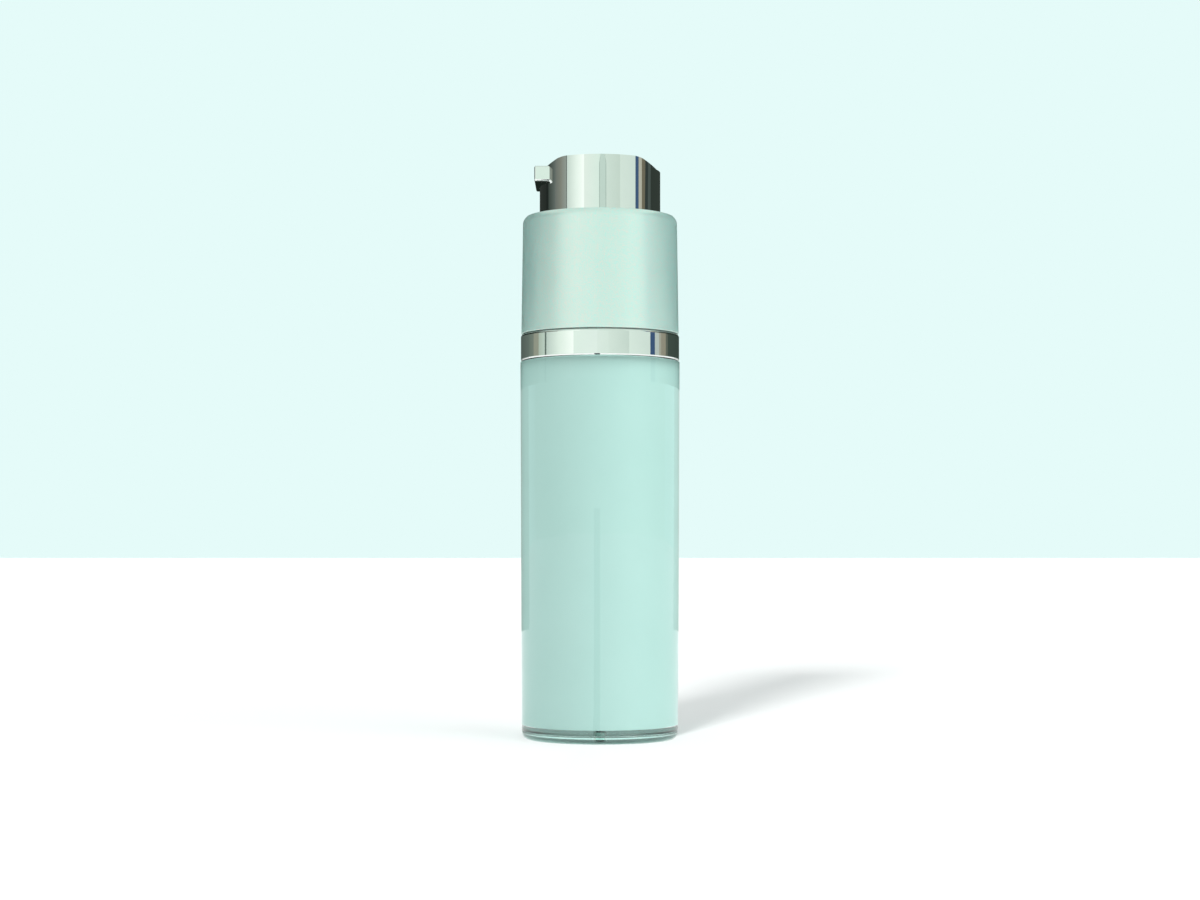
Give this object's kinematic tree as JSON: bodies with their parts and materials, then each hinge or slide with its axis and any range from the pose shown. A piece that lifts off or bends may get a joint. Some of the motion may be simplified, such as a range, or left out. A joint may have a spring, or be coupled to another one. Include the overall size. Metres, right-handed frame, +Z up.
{
  "type": "airless pump bottle",
  "caption": "Round airless pump bottle with a clear double wall; turning the collar lifts the bright head, and pressing the head meters the product out of its spout.",
  "frame": {"origin": "middle of the underside, on the surface the bottle stands on", "axes": "+Z up along the bottle's axis, -X the way the spout points, the head raised at rest"},
  "size_m": [0.0351, 0.035, 0.1268],
  "materials": {
    "clear_shell": "clear moulded acrylic, polished",
    "mint_cup": "smooth moulded mint plastic",
    "bright_plating": "polished bright plating",
    "pearl_mint": "satin pearl lacquer",
    "pale_plastic": "fine matt moulded",
    "white_acetal": "slippery moulded acetal",
    "white_polypropylene": "milky moulded polypropylene",
    "soft_white": "soft moulded polyethylene",
    "dark_rubber": "smooth moulded rubber",
    "steel": "drawn stainless steel"
  },
  "bodies": {
    "bottle": {"outer_bottle": "clear_shell", "base_plug": "clear_shell", "inner_bottle": "mint_cup", "neck_plug": "white_polypropylene", "neck_gasket": "dark_rubber", "guide_sleeve": "pale_plastic", "mouth_ring": "pale_plastic", "shoulder_ring": "bright_plating"},
    "collar": {"collar_shell": "pearl_mint", "cam_sleeve": "white_acetal"},
    "lift": {"lift_carrier": "white_acetal", "pump_housing": "white_polypropylene", "housing_seal": "dark_rubber", "housing_cap": "white_polypropylene", "stem_seal": "dark_rubber", "return_spring": "steel"},
    "inlet_valve": {"inlet_ball": "steel"},
    "head": {"actuator_shell": "bright_plating", "actuator_core": "pale_plastic", "nozzle_insert": "pale_plastic", "stem": "white_acetal"},
    "piston": {"pump_piston": "soft_white"},
    "follower": {"follower_piston": "soft_white"}
  },
  "joints": [
    {"name": "collar_twist", "type": "hinge", "parent": "bottle", "child": "collar", "pos_m": [0, 0, 0.0885], "axis": [0, 0, 1], "range_deg": [-90, 0]},
    {"name": "head_lift", "type": "slide", "parent": "bottle", "child": "lift", "axis": [0, 0, 1], "range_m": [-0.012, 0]},
    {"name": "head_press", "type": "slide", "parent": "lift", "child": "head", "axis": [0, 0, 1], "range_m": [-0.004, 0], "stiffness_N_per_m": 400, "springref_m": 0.002, "deforming": ["return_spring"]},
    {"name": "piston_slip", "type": "slide", "parent": "head", "child": "piston", "axis": [0, 0, 1], "range_m": [0, 0.0008]},
    {"name": "inlet_valve_open", "type": "slide", "parent": "lift", "child": "inlet_valve", "axis": [0, 0, 1], "range_m": [0, 0.0008]},
    {"name": "follower_rise", "type": "slide", "parent": "bottle", "child": "follower", "axis": [0, 0, 1], "range_m": [0, 0.06]}
  ],
  "couplings": [
    {"joint": "collar_twist", "follows": "head_lift", "rad_per_m": 130.9}
  ]
}
